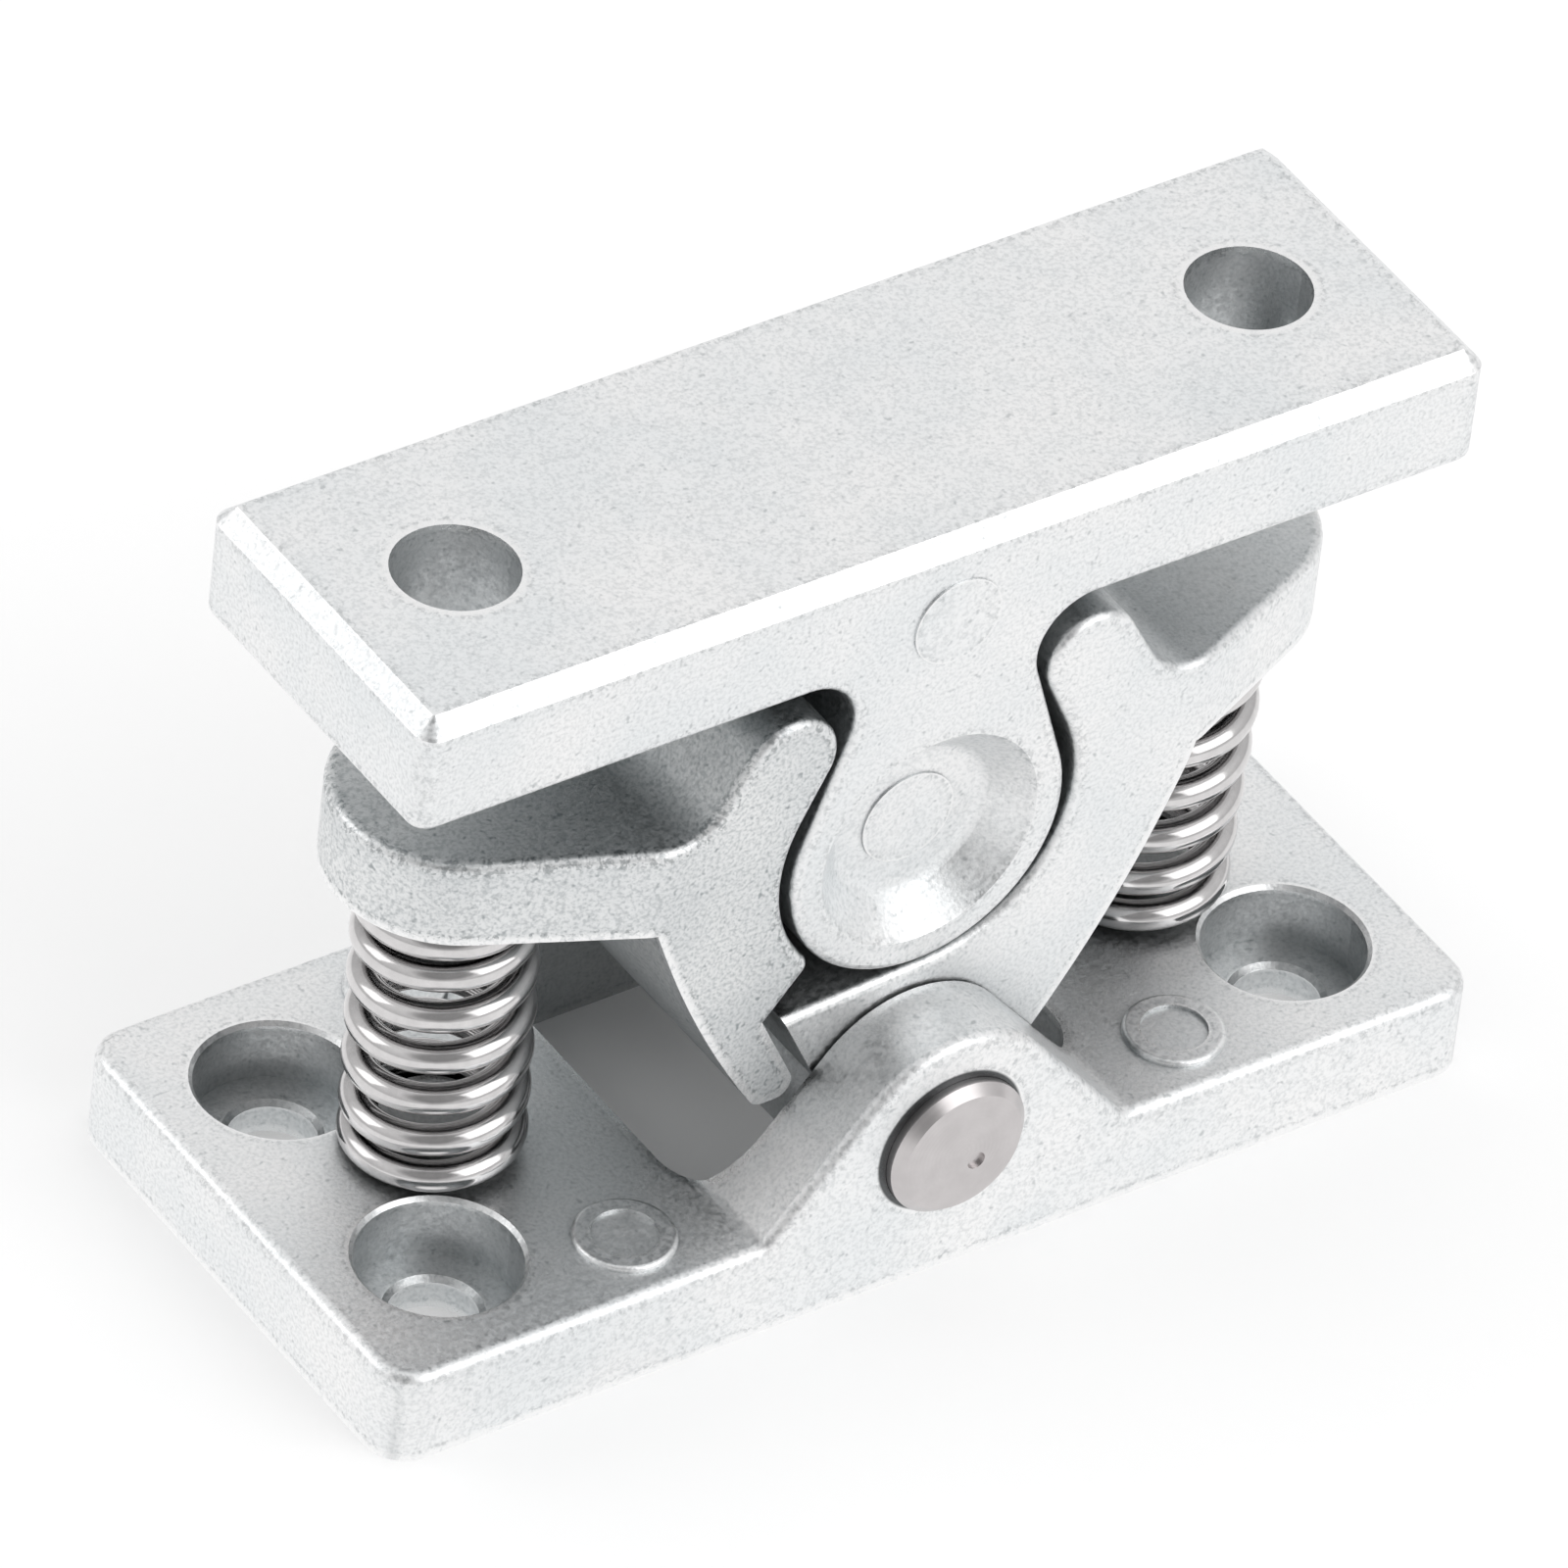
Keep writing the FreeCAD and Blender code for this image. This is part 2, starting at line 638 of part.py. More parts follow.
def make_spring(name, side):
    """A compression spring with closed, ground ends, wound along a worked-out line."""
    wire = size("spring_wire_diameter")
    radius = (size("spring_outer_diameter") - wire) / 2
    foot = PLATE_TOP + size("spring_seat_clearance")
    active = size("spring_active_turns")
    closed = size("spring_closed_turns")
    turns = active + closed + size("spring_top_closed_turns")
    closed_rise = wire + size("spring_closed_gap")
    climb = SPRING_LENGTH - closed_rise * (turns - active)
    count = int(round(turns * SPRING_POINTS_PER_TURN))
    points = []
    for index in range(count + 1):
        turn = turns * index / count
        height = closed_rise * min(turn, closed)
        height += climb * min(max((turn - closed) / active, 0), 1)
        height += closed_rise * max(turn - closed - active, 0)
        angle = 2 * math.pi * turn
        lean = side * size("spring_lean") * height / SPRING_LENGTH
        points.append(Vector(radius * math.cos(angle) + lean, radius * math.sin(angle), height))
    path = Part.BSplineCurve()
    path.interpolate(points)
    spine = Part.Wire(path.toShape())
    start = path.value(path.FirstParameter)
    along = path.tangent(path.FirstParameter)[0]
    section = Part.Wire(Part.Circle(start, along, wire / 2).toShape())
    coil = spine.makePipeShell([section], True, True)
    blank = Part.makeCylinder(size("spring_outer_diameter"), SPRING_LENGTH)
    ground = coil.common(blank)
    made = doc.addObject("Part::Feature", name)
    made.Label = name
    made.Shape = ground.Solids[0]
    made.Placement = Placement(Vector(side * size("spring_offset"), 0, foot), Rotation())
    return made


def striker_profile():
    """Plate, web with its hollow fillets, and the round knob below."""
    half = size("striker_length") / 2
    top = STRIKER_UNDERSIDE + size("striker_thickness")
    fillet = size("web_fillet_radius")
    right = point(size("neck_width") / 2 + fillet, STRIKER_UNDERSIDE - fillet)
    left = point(-right.x, right.y)
    knob_radius = size("knob_radius")
    normal = cross_tangent(KNOB, knob_radius, right, fillet)
    return [
        line(point(-half, top), point(half, top)),
        line(point(half, top), point(half, STRIKER_UNDERSIDE)),
        line(point(half, STRIKER_UNDERSIDE), point(right.x, STRIKER_UNDERSIDE)),
        arc(right, fillet, 90, normal + 180),
        line(right - unit(normal) * fillet, KNOB + unit(normal) * knob_radius),
        arc(KNOB, knob_radius, 180 - normal, normal),
        line(KNOB + unit(180 - normal) * knob_radius, left - unit(180 - normal) * fillet),
        arc(left, fillet, -normal, 90),
        line(point(left.x, STRIKER_UNDERSIDE), point(-half, STRIKER_UNDERSIDE)),
        line(point(-half, STRIKER_UNDERSIDE), point(-half, top)),
    ]


def make_striker():
    body = new_body("striker")
    outline = new_sketch(body, "striker_outline", "XZ_Plane")
    draw_profile(outline, striker_profile())
    blank = pad(body, "striker_blank", outline, "[striker_width]", symmetric=True)
    top = STRIKER_UNDERSIDE + size("striker_thickness")
    corners = [(x * size("striker_length") / 2, y * size("striker_width") / 2) for x, y in CORNERS]
    cornered = round_edges(body, "striker_corners", blank,
                           lambda e: runs_along(e, Vector(0, 0, 1), corners),
                           "[striker_chamfer] + [striker_corner_margin]")

    def is_web_rim(edge):
        box = edge.BoundBox
        on_face = near(box.YMin, box.YMax) and near(abs(box.YMin), size("striker_width") / 2)
        return on_face and box.ZMax < STRIKER_UNDERSIDE + 1e-3

    rimmed = round_edges(body, "striker_web_rim", cornered, is_web_rim, "[striker_edge_radius]")
    bevel_edges(body, "striker_top_bevel", rimmed,
                lambda e: near(e.BoundBox.ZMin, top) and near(e.BoundBox.ZMax, top),
                "[striker_chamfer]")

    holes = new_sketch(body, "striker_hole_plan", "XY_Plane")
    for side in SIDES:
        draw_circle(holes, "[striker_hole_spacing] / 2", None, "[striker_hole_diameter]", (side, 1))
    pocket(body, "striker_holes", holes, reverse=True)

    dish_sketch = new_sketch(body, "dish_outline", "XZ_Plane", "[striker_width] / 2")
    draw_profile(dish_sketch, [Part.Circle(KNOB, Vector(0, 0, 1), size("dish_radius"))])
    dish = pocket(body, "front_dish", dish_sketch, "[dish_depth]")
    bind(dish, "TaperAngle", "-atan(([dish_radius] - [dish_floor_radius]) / [dish_depth])")
    doc.recompute()
    dishes = mirror(body, "back_dish", dish, "XZ_Plane")
    round_edges(body, "dish_floors", dishes,
                lambda e: isinstance(e.Curve, Part.Circle) and near(e.Curve.Radius, size("dish_floor_radius")),
                "[dish_floor_fillet]")

    web_middle = point(0, STRIKER_UNDERSIDE + size("web_mark_above_plate"))
    for label, centre, diameter, depth in (
            ("knob_mark", KNOB, "knob_mark_diameter", "[striker_width] / 2 - [dish_depth]"),
            ("web_mark", web_middle, "web_mark_diameter", "[striker_width] / 2")):
        mark = new_sketch(body, label + "_outline", "XZ_Plane", depth)
        draw_profile(mark, [Part.Circle(centre, Vector(0, 0, 1), size(diameter) / 2)])
        pad(body, label, mark, "[mark_height]")
    return body


pieces = [
    make_base(),
    make_jaw("right_jaw", False),
    make_jaw("left_jaw", True),
    make_pin(),
    make_spring("right_spring", 1),
    make_spring("left_spring", -1),
    make_striker(),
]
doc.recompute()

for thing in doc.Objects:
    if "Invalid" in thing.State or "Error" in thing.State:
        raise RuntimeError("%s did not recompute: %s" % (thing.Name, thing.State))
for piece in pieces:
    if piece.Shape.isNull() or not piece.Shape.isValid() or len(piece.Shape.Solids) != 1:
        raise RuntimeError("%s is not one valid solid" % piece.Label)

os.makedirs("parts", exist_ok=True)
for piece in pieces:
    piece.Shape.exportStep("parts/%s.step" % piece.Label)
    box = piece.Shape.BoundBox
    print("%-14s %9.1f mm3  %s" % (piece.Label, piece.Shape.Volume, box))
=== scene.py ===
import math

import bpy
from mathutils import Matrix, Vector


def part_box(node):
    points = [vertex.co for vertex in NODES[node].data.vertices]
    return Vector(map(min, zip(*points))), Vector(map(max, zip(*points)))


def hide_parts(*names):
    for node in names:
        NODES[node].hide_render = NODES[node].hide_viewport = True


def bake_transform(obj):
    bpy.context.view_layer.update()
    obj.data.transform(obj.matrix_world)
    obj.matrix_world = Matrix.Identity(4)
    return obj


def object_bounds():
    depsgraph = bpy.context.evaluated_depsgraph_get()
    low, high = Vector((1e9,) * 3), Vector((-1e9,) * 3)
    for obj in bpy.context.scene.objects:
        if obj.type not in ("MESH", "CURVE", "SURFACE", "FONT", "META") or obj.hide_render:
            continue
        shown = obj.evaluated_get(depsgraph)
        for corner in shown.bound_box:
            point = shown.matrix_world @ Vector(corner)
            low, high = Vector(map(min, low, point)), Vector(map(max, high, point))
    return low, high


# Twin-jaw door retainer: four zinc die castings, a turned steel pin and two steel springs.
# Everything is in metres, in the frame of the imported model: X along the base plate, Y along the
# pin, Z up from the mounting face.

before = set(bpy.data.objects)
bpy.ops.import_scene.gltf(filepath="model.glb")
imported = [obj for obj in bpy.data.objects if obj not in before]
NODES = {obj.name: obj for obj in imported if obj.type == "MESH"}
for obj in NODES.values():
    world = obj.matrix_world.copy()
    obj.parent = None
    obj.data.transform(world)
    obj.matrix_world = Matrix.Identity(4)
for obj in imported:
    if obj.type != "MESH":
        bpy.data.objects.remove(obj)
cad_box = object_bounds()
MM = 0.001
PLATE_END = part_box("base_plate")[1].x
PLATE_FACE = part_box("base_plate")[1].y
PIVOT_HEIGHT = (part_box("pivot_pin")[0].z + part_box("pivot_pin")[1].z) / 2

# Camera: a long lens from the front left, above, tilted a little about its own axis

CAMERA_AZIMUTH = math.radians(-38.09)
CAMERA_ELEVATION = math.radians(40.16)
CAMERA_ROLL = math.radians(6.93)
CAMERA_DISTANCE = 1405.8 * MM
AIM_RIGHT = 0.63 * MM
AIM_UP = 21.33 * MM
SENSOR = 36.0
LENS = 465.75
TOWARD_CAMERA = Vector((math.sin(CAMERA_AZIMUTH) * math.cos(CAMERA_ELEVATION),
                        -math.cos(CAMERA_AZIMUTH) * math.cos(CAMERA_ELEVATION),
                        math.sin(CAMERA_ELEVATION)))


def make_camera():
    """Stands the camera where the photograph was taken from."""
    back = TOWARD_CAMERA
    level = Vector((0, 0, 1)).cross(back).normalized()
    upright = back.cross(level)
    right = math.cos(CAMERA_ROLL) * level + math.sin(CAMERA_ROLL) * upright
    up = math.cos(CAMERA_ROLL) * upright - math.sin(CAMERA_ROLL) * level
    place = right * AIM_RIGHT + up * AIM_UP + back * CAMERA_DISTANCE
    data = bpy.data.cameras.new("camera")
    data.sensor_width = SENSOR
    data.lens = LENS
    data.clip_start = CAMERA_DISTANCE / 10
    data.clip_end = CAMERA_DISTANCE * 10
    camera = bpy.data.objects.new("camera", data)
    bpy.context.scene.collection.objects.link(camera)
    turned = Matrix((right, up, back)).transposed().to_4x4()
    camera.matrix_world = Matrix.Translation(place) @ turned
    bpy.context.scene.camera = camera


# Nodes and patterns that the materials, the floor and the room are made of

# A Mix node has sockets for each kind of data; these are the places of its colours
COLOUR_A = 6
COLOUR_B = 7
MIXED_COLOUR = 2


def srgb(colour):
    """A colour written as sRGB hex, as the linear values that a shader takes."""
    parts = [int(colour[i:i + 2], 16) / 255 for i in (1, 3, 5)]
    return [p / 12.92 if p <= 0.04045 else ((p + 0.055) / 1.055) ** 2.4 for p in parts] + [1.0]


def add_node(tree, kind, inputs=None, **settings):
    """Adds a node; an input takes a value, an sRGB hex colour or a socket to link from."""
    made = tree.nodes.new(kind)
    for name, value in settings.items():
        setattr(made, name, value)
    for name, value in (inputs or {}).items():
        if isinstance(value, bpy.types.NodeSocket):
            tree.links.new(value, made.inputs[name])
        else:
            made.inputs[name].default_value = srgb(value) if isinstance(value, str) else value
    return made


def new_material(name):
    """An empty material with its node tree and the place of each point in the object."""
    material = bpy.data.materials.new(name)
    material.use_nodes = True
    tree = material.node_tree
    tree.nodes.clear()
    return material, tree, add_node(tree, "ShaderNodeTexCoord").outputs["Object"]


def from_middle(tree, place):
    """How far a point lies from the middle along each axis, on either side."""
    either_side = add_node(tree, "ShaderNodeVectorMath", {0: place}, operation="ABSOLUTE")
    return add_node(tree, "ShaderNodeSeparateXYZ", {0: either_side.outputs["Vector"]}).outputs


def from_line(tree, place, x, z):
    """How far a point lies from a line along Y."""
    across = add_node(tree, "ShaderNodeMapping",
                      {"Vector": place, "Location": (-x, 0, -z), "Scale": (1, 0, 1)},
                      vector_type="POINT")
    off = add_node(tree, "ShaderNodeVectorMath", {0: across.outputs["Vector"]}, operation="LENGTH")
    return off.outputs["Value"]


def overlap(tree, most, *bands):
    """A share of up to most, where several patterns meet.

    Each band is a pattern with the levels at which it lets nothing and everything through."""
    share = most
    for pattern, nothing, everything in bands:
        band = add_node(tree, "ShaderNodeMapRange",
                        {"Value": pattern, "From Min": nothing, "From Max": everything,
                         "To Max": share}, interpolation_type="SMOOTHSTEP")
        share = band.outputs["Result"]
    return share


def lay_over(tree, skin, colour, most, *bands):
    """Lays a colour over the skin, by a share of up to most where the bands meet."""
    share = overlap(tree, most, *bands)
    mixed = add_node(tree, "ShaderNodeMix",
                     {"Factor": share, COLOUR_A: skin, COLOUR_B: colour}, data_type="RGBA")
    return mixed.outputs[MIXED_COLOUR]


def clouded(tree, place, size, detail, roughness, margin, dark, light):
    """Drifts from a dark to a light tone in clouds of a real size, flat within the margins."""
    drift = add_node(tree, "ShaderNodeTexNoise",
                     {"Vector": place, "Scale": 1 / size, "Detail": detail,
                      "Roughness": roughness})
    share = add_node(tree, "ShaderNodeMapRange",
                     {"Value": drift.outputs["Fac"], "From Min": margin, "From Max": 1 - margin})
    return lay_over(tree, dark, light, share.outputs["Result"])


# Castings

# Size, detail and roughness of the noise that draws each mark. The real grain of the blasted
# skin is near 0.1 mm, too fine to show, so they are drawn as coarse as they need to show
GRAIN = (0.5 * MM, 2.0, 0.7)
FLECKS = (0.3 * MM, 2.0, 0.6)
PITS = (0.6 * MM, 1.0, 0.5)
CLOUD_SIZE = 11 * MM

# How far wear and painted highlight reach from an edge, how wide a recess still gets painted
# shade, and how far in from the plate's outer faces that painted shade begins
WEAR_AND_HIGHLIGHT_WIDTH = 1.0 * MM
SHADE_REACH = 28.0 * MM
UNSHADED_DEPTH = 1.0 * MM

# Painted shadow round the pin's head: its radius, the width of its soft edge, and how far its
# middle is shifted toward -X and up
PIN_SHADOW_RADIUS = 6.0 * MM
PIN_SHADOW_FADE = 0.25 * MM
PIN_SHADOW_SHIFT = 0.3 * MM

SKIN_RELIEF = 0.05 * MM


def shade_depth(tree, place):
    """How deep a point lies in a recess, where painted shade is laid over the skin.

    The plate's outer faces don't count as one, though they stand so near the floor."""
    outward = from_middle(tree, place)
    inner = overlap(tree, 1.0, (outward["X"], PLATE_END, PLATE_END - UNSHADED_DEPTH),
                    (outward["Y"], PLATE_FACE, PLATE_FACE - UNSHADED_DEPTH))
    openness = add_node(tree, "ShaderNodeAmbientOcclusion", {"Distance": SHADE_REACH}, samples=3)
    depth = add_node(tree, "ShaderNodeMapRange",
                     {"Value": openness.outputs["AO"], "From Min": 1.0, "From Max": 0.0,
                      "To Max": inner})
    return depth.outputs["Result"]


def zinc_casting(name, cloudy, clear, grain_share, speck_share):
    """Zinc die casting, blasted, tumbled and bright zinc plated: pale, cool grey, softly matt.

    The blasting gives a dense fine grain with darker pits, the plating faint clouds, and the
    tumbling bright edges with dark specks beside them; the bright edges are partly painted
    highlight. Painted shade darkens the recesses."""
    material, tree, place = new_material(name)
    grain, flecks, pits = [
        add_node(tree, "ShaderNodeTexNoise",
                 {"Vector": place, "Scale": 1 / size, "Detail": detail,
                  "Roughness": roughness}).outputs["Fac"]
        for size, detail, roughness in (GRAIN, FLECKS, PITS)]
    skin = clouded(tree, place, CLOUD_SIZE, detail=3.0, roughness=0.55, margin=0.36,
                   dark=cloudy, light=clear)
    skin = lay_over(tree, skin, "#aeb3b5", grain_share, (flecks, 0.62, 0.3))
    skin = lay_over(tree, skin, "#8a9194", grain_share, (pits, 0.34, 0.2))

    # Edges: flatness is 1 on a flat face and falls toward an edge
    flatness = add_node(tree, "ShaderNodeAmbientOcclusion", {"Distance": WEAR_AND_HIGHLIGHT_WIDTH}, samples=10,
                        inside=True, only_local=True).outputs["AO"]
    patchy = add_node(tree, "ShaderNodeMapRange",
                      {"Value": grain, "From Min": 0.38, "From Max": 0.52, "To Min": 0.3,
                       "To Max": 1.0}, interpolation_type="SMOOTHSTEP")
    worn_and_highlight = overlap(tree, patchy.outputs["Result"], (flatness, 0.88, 0.76))
    # Wear and painted highlight: the skin turns near white along the edges
    skin = lay_over(tree, skin, "#f9f9f9", worn_and_highlight)
    skin = lay_over(tree, skin, "#5f676a", speck_share, (grain, 0.5, 0.42),
                    (flatness, 0.8, 0.88), (flatness, 0.98, 0.93))

    # Painted shade: a dark blue-grey laid over the skin deep in recesses and under other parts
    skin = lay_over(tree, skin, "#2d444a", 0.45, (shade_depth(tree, place), 0.3, 0.75))

    # Painted shadow: a dark crescent where the pin's head meets the ear
    off_pin = from_line(tree, place, -PIN_SHADOW_SHIFT, PIVOT_HEIGHT + PIN_SHADOW_SHIFT)
    skin = lay_over(tree, skin, "#22282b", 0.9,
                    (off_pin, PIN_SHADOW_RADIUS, PIN_SHADOW_RADIUS - PIN_SHADOW_FADE))

    # Blasted skin scatters the light; rubbed edges are smoother
    blasted = add_node(tree, "ShaderNodeMapRange",
                       {"Value": grain, "From Min": 0.3, "From Max": 0.7, "To Min": 0.38,
                        "To Max": 0.54}, interpolation_type="SMOOTHSTEP")
    rough = add_node(tree, "ShaderNodeMath", {0: worn_and_highlight, 1: -0.2, 2: blasted.outputs["Result"]},
                     operation="MULTIPLY_ADD")
    height = add_node(tree, "ShaderNodeMath", {0: grain, 1: flecks}, operation="ADD")
    bump = add_node(tree, "ShaderNodeBump",
                    {"Height": height.outputs[0], "Strength": 0.35, "Distance": SKIN_RELIEF})
    shader = add_node(tree, "ShaderNodeBsdfPrincipled",
                      {"Base Color": skin, "Metallic": 1.0, "Roughness": rough.outputs[0],
                       "Normal": bump.outputs["Normal"]})
    add_node(tree, "ShaderNodeOutputMaterial", {"Surface": shader.outputs[0]})
    return material


# Steel

# The real feed of the tool is near 0.1 mm, drawn coarser so that it shows
RING_PITCH = 0.35 * MM
RING_DEPTH = 0.01 * MM
# How far painted shade reaches between the spring's turns
COIL_SHADE_REACH = 3.0 * MM


def turned_steel():
    """Turned steel, thinly plated: a warmer, darker grey than the castings, with tool rings."""
    material, tree, place = new_material("turned_steel")
    tone = clouded(tree, place, 2.0 * MM, detail=3.0, roughness=0.6, margin=0.35,
                   dark="#c6c2c2", light="#cecaca")
    turns = add_node(tree, "ShaderNodeMath",
                     {0: from_line(tree, place, 0, PIVOT_HEIGHT), 1: 2 * math.pi / RING_PITCH},
                     operation="MULTIPLY")
    rings = add_node(tree, "ShaderNodeMath", {0: turns.outputs[0]}, operation="SINE")
    bump = add_node(tree, "ShaderNodeBump",
                    {"Height": rings.outputs[0], "Strength": 0.15, "Distance": RING_DEPTH})
    shader = add_node(tree, "ShaderNodeBsdfPrincipled",
                      {"Base Color": tone, "Metallic": 1.0, "Roughness": 0.3,
                       "Normal": bump.outputs["Normal"]})
    add_node(tree, "ShaderNodeOutputMaterial", {"Surface": shader.outputs[0]})
    return material


def spring_wire():
    """Drawn and polished spring steel: almost a mirror, with painted shade between the turns."""
    material, tree, place = new_material("polished_spring_steel")
    tone = clouded(tree, place, 1.5 * MM, detail=4.0, roughness=0.6, margin=0.35,
                   dark="#d2d0d0", light="#dedcdc")
    # Painted shade: the wire turns near black where the turns close in on it
    openness = add_node(tree, "ShaderNodeAmbientOcclusion", {"Distance": COIL_SHADE_REACH},
                        samples=3)
    tone = lay_over(tree, tone, "#363535", 0.92, (openness.outputs["AO"], 0.85, 0.3))
    shader = add_node(tree, "ShaderNodeBsdfPrincipled",
                      {"Base Color": tone, "Metallic": 1.0, "Roughness": 0.14})
    add_node(tree, "ShaderNodeOutputMaterial", {"Surface": shader.outputs[0]})
    return material


# Pieces

WIRE = 2.3 * MM
CLOSED_GAP = 0.09 * MM
CLOSED_TURNS = 1.0
ACTIVE_TURNS = 4.95
TOP_CLOSED_TURNS = 2.0
SPRING_OFFSET = 29.2 * MM
SPRING_LEAN = 0.9 * MM
STEPS_PER_TURN = 60
WIRE_SIDES = 28

# Edges sharper than this, round the ground ends, stay sharp
GROUND_EDGE = math.radians(40)


def give(piece, material):
    """Puts one material on all of a piece."""
    if not piece.data.materials:
        piece.data.materials.append(material)
    for holder in piece.material_slots:
        holder.material = material


def coil_height(turn, length):
    """How high the wire's middle is after so many turns: close wound, open, close wound."""
    rise = WIRE + CLOSED_GAP
    climb = length - (CLOSED_TURNS + TOP_CLOSED_TURNS) * rise
    height = rise * min(turn, CLOSED_TURNS)
    height += climb * min(max((turn - CLOSED_TURNS) / ACTIVE_TURNS, 0), 1)
    return height + rise * max(turn - CLOSED_TURNS - ACTIVE_TURNS, 0)


def make_spring(name, node, side):
    """Winds a compression spring that leans outward, and grinds both its ends flat."""
    low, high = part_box(node)
    length = high.z - low.z
    radius = (high.y - low.y - WIRE) / 2
    turns = CLOSED_TURNS + ACTIVE_TURNS + TOP_CLOSED_TURNS
    steps = round(turns * STEPS_PER_TURN)

    bpy.ops.object.select_all(action="DESELECT")
    bpy.ops.mesh.primitive_circle_add(vertices=WIRE_SIDES, radius=WIRE / 2,
                                      location=(radius, 0, 0), rotation=(math.pi / 2, 0, 0))
    spring = bpy.context.object
    spring.name = name
    bpy.ops.object.transform_apply(location=True, rotation=True, scale=True)
    screw = spring.modifiers.new("wind", "SCREW")
    screw.angle = 2 * math.pi * turns
    screw.steps = steps
    screw.render_steps = steps
    screw.iterations = 1
    bpy.ops.object.modifier_apply(modifier=screw.name)
    # The screw leaves the wire's sections one after the other, each with WIRE_SIDES vertices
    for index, vertex in enumerate(spring.data.vertices):
        vertex.co.z += coil_height(index // WIRE_SIDES * turns / steps, length)
        vertex.co.x += side * SPRING_LEAN * vertex.co.z / length

    bpy.ops.object.mode_set(mode="EDIT")
    bpy.ops.mesh.select_all(action="SELECT")
    bpy.ops.mesh.fill_holes(sides=0)
    # Grinding: what stands below the foot or above the head is cut off flat
    for height, upward in ((0, -1), (length, 1)):
        bpy.ops.mesh.select_all(action="SELECT")
        bpy.ops.mesh.bisect(plane_co=(0, 0, height), plane_no=(0, 0, upward),
                            use_fill=True, clear_outer=True)
    bpy.ops.mesh.select_all(action="SELECT")
    bpy.ops.mesh.normals_make_consistent(inside=False)
    bpy.ops.object.mode_set(mode="OBJECT")
    bpy.ops.object.shade_smooth_by_angle(angle=GROUND_EDGE)
    stand = Vector((side * SPRING_OFFSET, 0, low.z))
    spring.data.transform(Matrix.Translation(stand))

    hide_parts(node)
    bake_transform(spring)
    return spring


# Stage and light

FLOOR_HALF = 3.0

# How much white the camera sees in the floor over its lit colour, so that its shadow stays soft
FLOOR_IN_VIEW = 0.25

# How far the plate's window reaches from the middle along each axis
WINDOW_REACH = {"X": 17.5 * MM, "Y": 15.0 * MM}

# The room as metal mirrors it: how bright its wall is at the floor, and from WALL_TOP upward
WALL_LOW = 0.65
WALL_HIGH = 0.9
WALL_TOP = 0.75

# How much of that is left on the side that the camera stands on, and the cosines between which
# the room darkens toward it
DARK_SIDE = 0.38
DARKENS_FROM = 0.78
DARKEST_FROM = 0.95

# How bright the room is for everything that isn't mirrored
DIFFUSE_FILL = 0.95

# Soft boxes: place and width in metres, and power in watts
SOFT_BOXES = {"right_box": ((0.5, -1.15, 0.95), 1.3, 6.5),
              "left_box": ((-1.0, 0.85, 0.75), 0.8, 2.1)}


def make_floor():
    """A plain pale floor that keeps the object's soft shadow.

    Metal mirrors it as white, except where it lies in the dark under the plate's window."""
    bpy.ops.object.select_all(action="DESELECT")
    bpy.ops.mesh.primitive_plane_add(size=2 * FLOOR_HALF, location=(0, 0, 0))
    floor = bpy.context.object
    floor.name = "floor"
    material, tree, place = new_material("pale_floor")
    path = add_node(tree, "ShaderNodeLightPath").outputs
    seen = add_node(tree, "ShaderNodeMath",
                    {0: path["Is Camera Ray"], 1: FLOOR_IN_VIEW, 2: path["Is Glossy Ray"]},
                    operation="MULTIPLY_ADD")
    outward = from_middle(tree, place)
    beyond_x, beyond_y = [
        add_node(tree, "ShaderNodeMath", {0: outward[axis], 1: reach}, operation="GREATER_THAN")
        for axis, reach in WINDOW_REACH.items()]
    outside = add_node(tree, "ShaderNodeMath",
                       {0: beyond_x.outputs[0], 1: beyond_y.outputs[0]}, operation="MAXIMUM")
    share = add_node(tree, "ShaderNodeMath", {0: seen.outputs[0], 1: outside.outputs[0]},
                     operation="MULTIPLY")
    matt = add_node(tree, "ShaderNodeBsdfDiffuse", {"Color": "#fcfcfc"})
    white = add_node(tree, "ShaderNodeEmission", {"Color": "#ffffff", "Strength": 1.0})
    both = add_node(tree, "ShaderNodeMixShader",
                    {0: share.outputs[0], 1: matt.outputs[0], 2: white.outputs[0]})
    add_node(tree, "ShaderNodeOutputMaterial", {"Surface": both.outputs[0]})
    floor.data.materials.append(material)


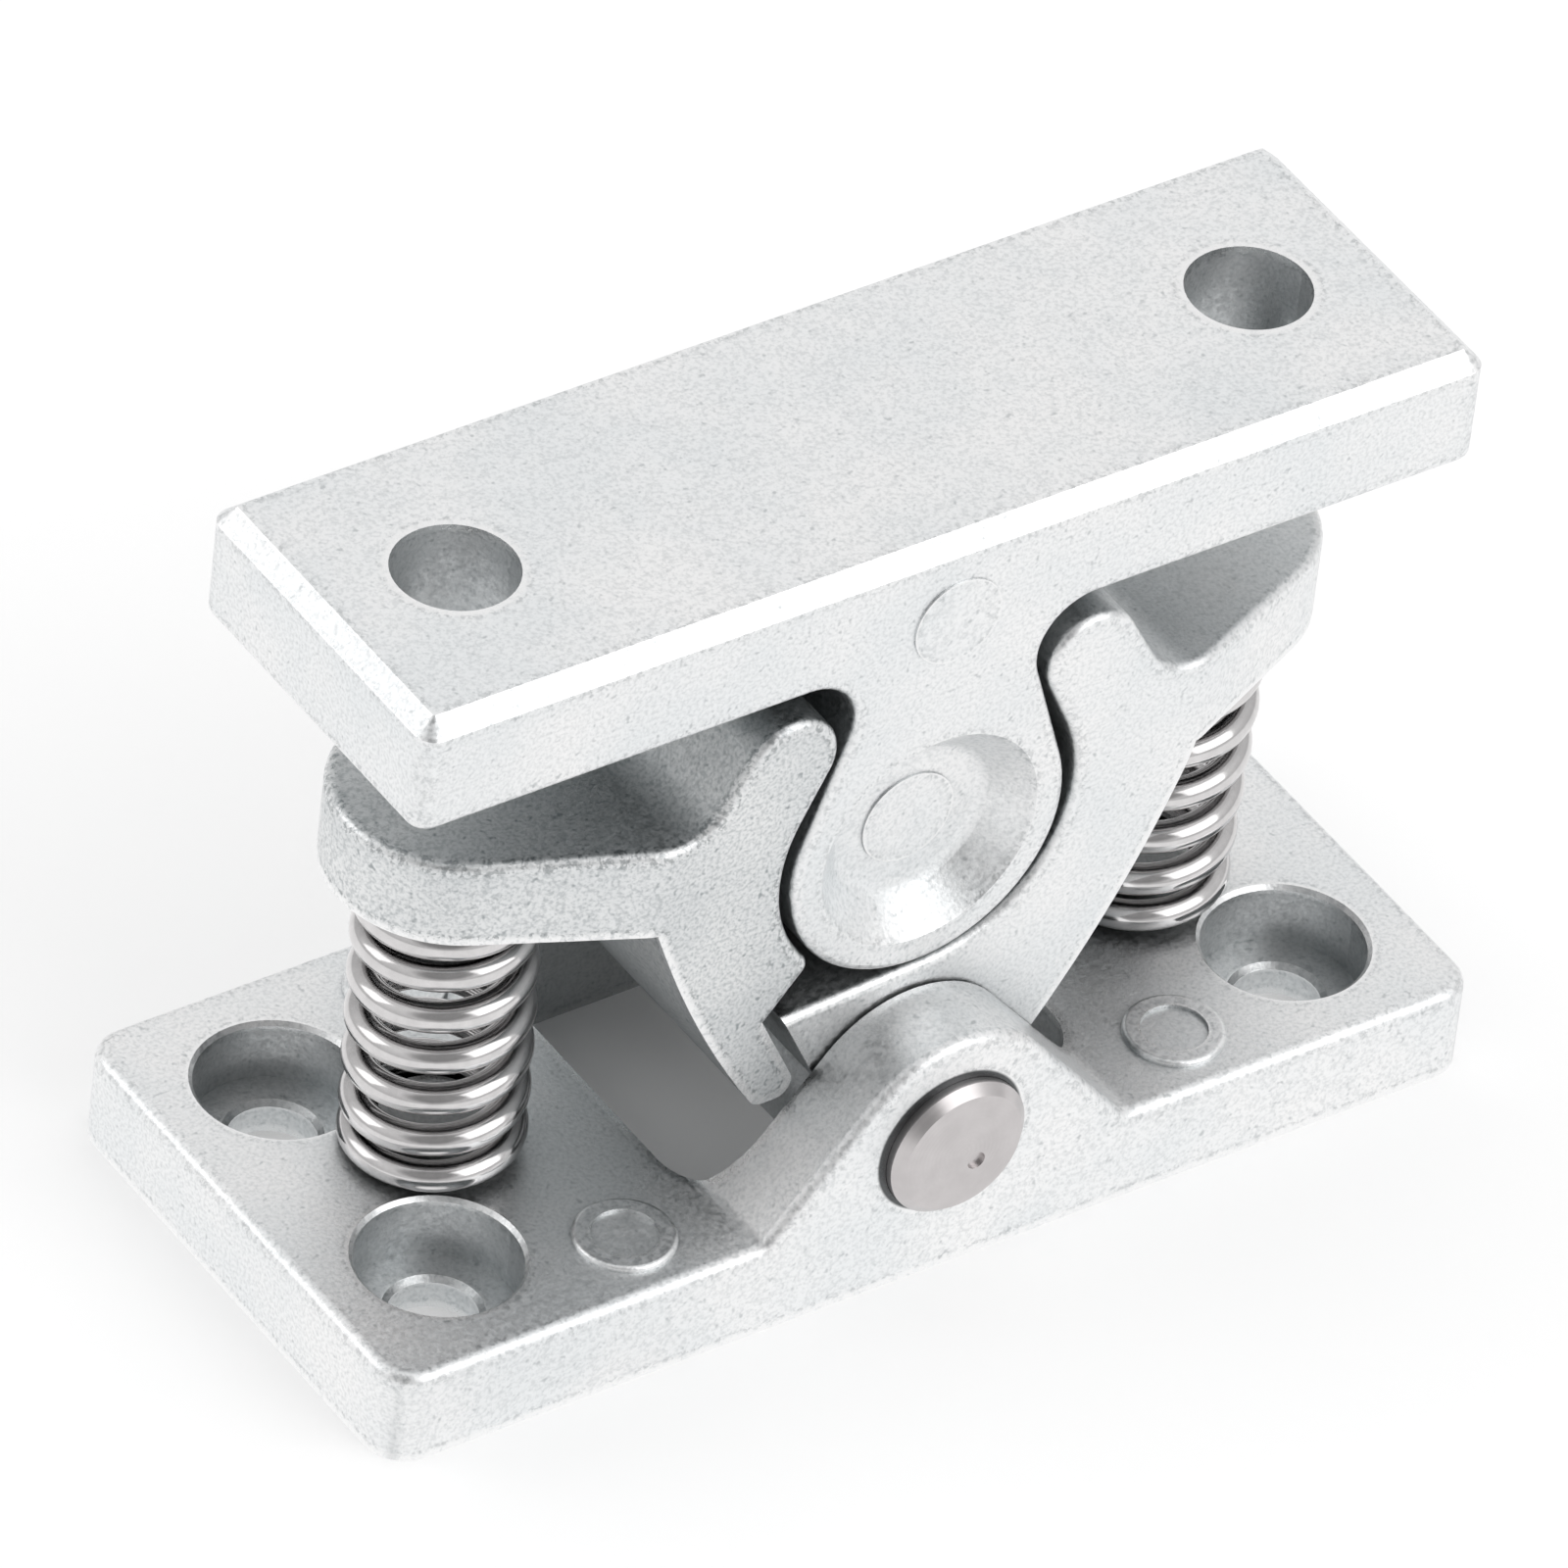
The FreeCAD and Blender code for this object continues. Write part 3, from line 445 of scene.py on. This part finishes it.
def make_room():
    """A white room that metal mirrors as brighter above, and darker on the camera's side."""
    room = bpy.data.worlds.new("studio")
    room.use_nodes = True
    tree = room.node_tree
    tree.nodes.clear()
    toward = add_node(tree, "ShaderNodeTexCoord").outputs["Generated"]
    height = add_node(tree, "ShaderNodeSeparateXYZ", {0: toward}).outputs["Z"]
    wall = add_node(tree, "ShaderNodeMapRange",
                    {"Value": height, "From Max": WALL_TOP, "To Min": WALL_LOW,
                     "To Max": WALL_HIGH}, interpolation_type="SMOOTHSTEP")
    facing = add_node(tree, "ShaderNodeVectorMath", {0: toward, 1: TOWARD_CAMERA},
                      operation="DOT_PRODUCT").outputs["Value"]
    shade = add_node(tree, "ShaderNodeMapRange",
                     {"Value": facing, "From Min": DARKENS_FROM, "From Max": DARKEST_FROM,
                      "To Min": 1.0, "To Max": DARK_SIDE}, interpolation_type="SMOOTHSTEP")
    mirrored = add_node(tree, "ShaderNodeMath",
                        {0: wall.outputs["Result"], 1: shade.outputs["Result"]},
                        operation="MULTIPLY")
    path = add_node(tree, "ShaderNodeLightPath").outputs
    light = add_node(tree, "ShaderNodeMix",
                     {"Factor": path["Is Glossy Ray"], "A": DIFFUSE_FILL,
                      "B": mirrored.outputs[0]})
    strength = add_node(tree, "ShaderNodeMix",
                        {"Factor": path["Is Camera Ray"], "A": light.outputs[0], "B": 1.0})
    background = add_node(tree, "ShaderNodeBackground",
                          {"Color": "#ffffff", "Strength": strength.outputs[0]})
    add_node(tree, "ShaderNodeOutputWorld", {"Surface": background.outputs[0]})
    bpy.context.scene.world = room


def soft_box(name, place, size, power):
    """A square area lamp that faces the middle of the object."""
    data = bpy.data.lights.new(name, "AREA")
    data.size = size
    data.energy = power
    lamp = bpy.data.objects.new(name, data)
    bpy.context.scene.collection.objects.link(lamp)
    aim = (cad_box[0] + cad_box[1]) / 2
    turned = (Vector(place) - aim).to_track_quat("Z", "Y").to_matrix().to_4x4()
    lamp.matrix_world = Matrix.Translation(place) @ turned


make_camera()
make_floor()
make_room()
for name, (place, size, power) in SOFT_BOXES.items():
    soft_box(name, place, size, power)
bpy.context.scene.view_settings.view_transform = "Standard"

# The left jaw's tones are darker than the other castings', as painted shade, and it is more
# grained
zinc = zinc_casting("zinc_die_casting", "#f2f4f5", "#fafafa", grain_share=0.3,
                    speck_share=0.45)
shaded_grainy_zinc = zinc_casting("zinc_die_casting_shaded_grainy", "#e2e4e5", "#eeefef", grain_share=0.62,
                         speck_share=0.9)
steel = turned_steel()
wire = spring_wire()
for part in ("base_plate", "right_jaw", "striker"):
    give(NODES[part], zinc)
give(NODES["left_jaw"], shaded_grainy_zinc)
give(NODES["pivot_pin"], steel)
for hand, side in (("right", 1), ("left", -1)):
    give(make_spring(hand + "_coil", hand + "_spring", side), wire)
